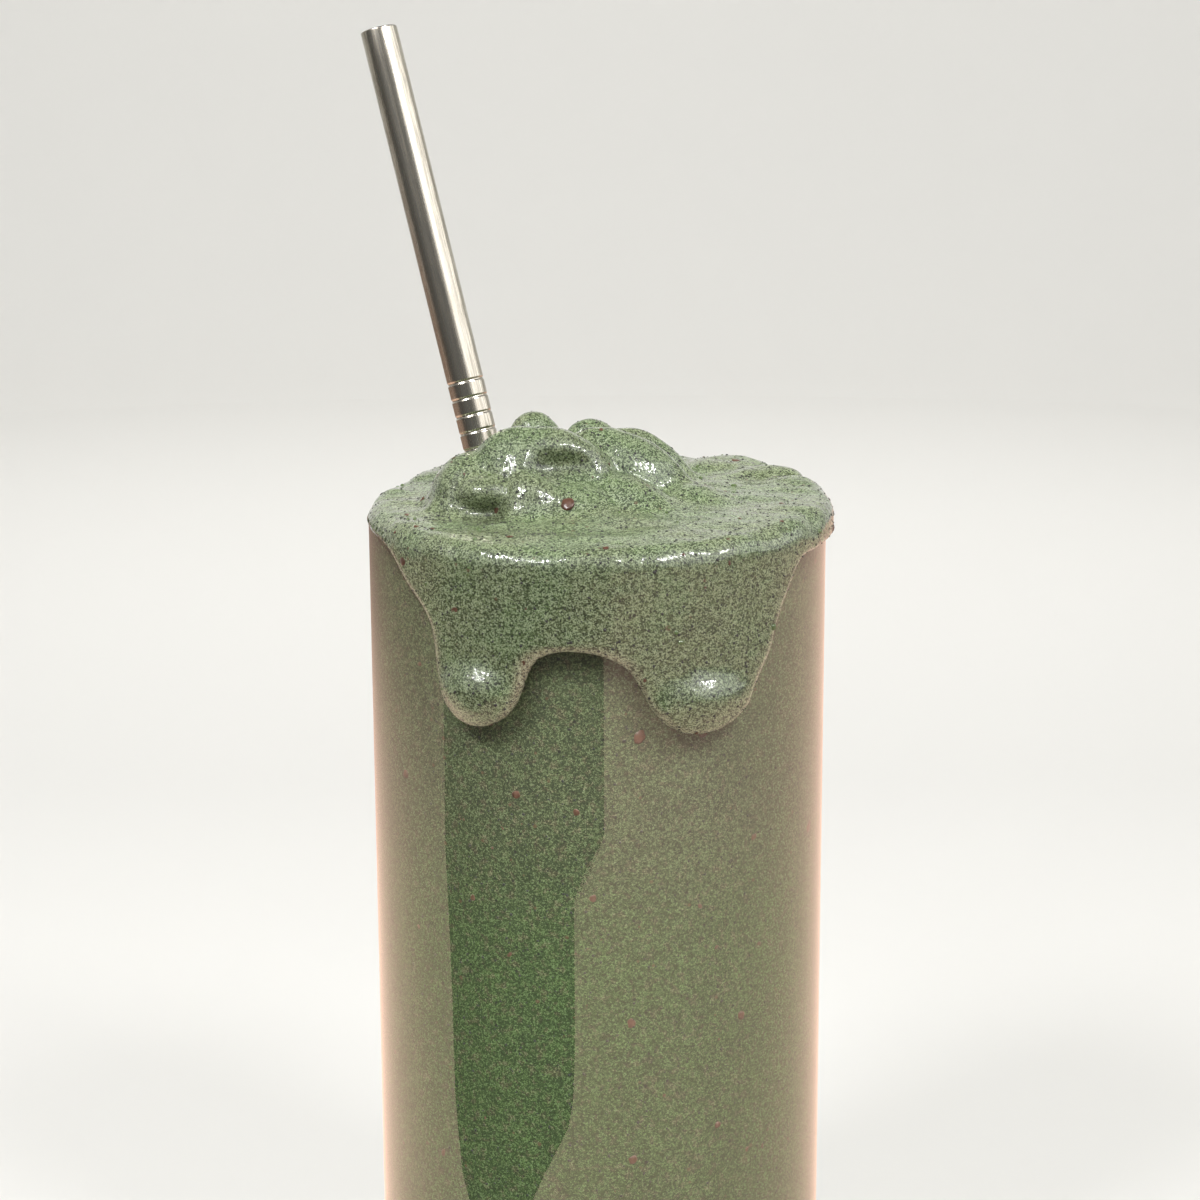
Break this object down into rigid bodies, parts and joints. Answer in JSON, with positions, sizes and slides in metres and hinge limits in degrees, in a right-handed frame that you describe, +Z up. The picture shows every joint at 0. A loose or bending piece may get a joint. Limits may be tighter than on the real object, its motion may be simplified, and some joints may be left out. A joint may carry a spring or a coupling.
{
  "type": "green smoothie in a glass",
  "caption": "Tall straight glass filled with a thick green smoothie, heaped above the lip and running down the front in two drips, with a leaning steel straw.",
  "frame": {"origin": "centre of the glass's flat underside", "axes": "+Z up along the axis of the glass; -Y is the front, where the smoothie hangs down in two drips; +X to the right seen from the front"},
  "size_m": [0.0749, 0.0753, 0.2168],
  "materials": {
    "glass": "clear, polished",
    "smoothie": "wet, fine-grained grey-green with dark specks",
    "steel": "brushed along its length"
  },
  "bodies": {
    "root": {"glass": "glass", "smoothie": "smoothie", "straw": "steel"}
  },
  "joints": []
}
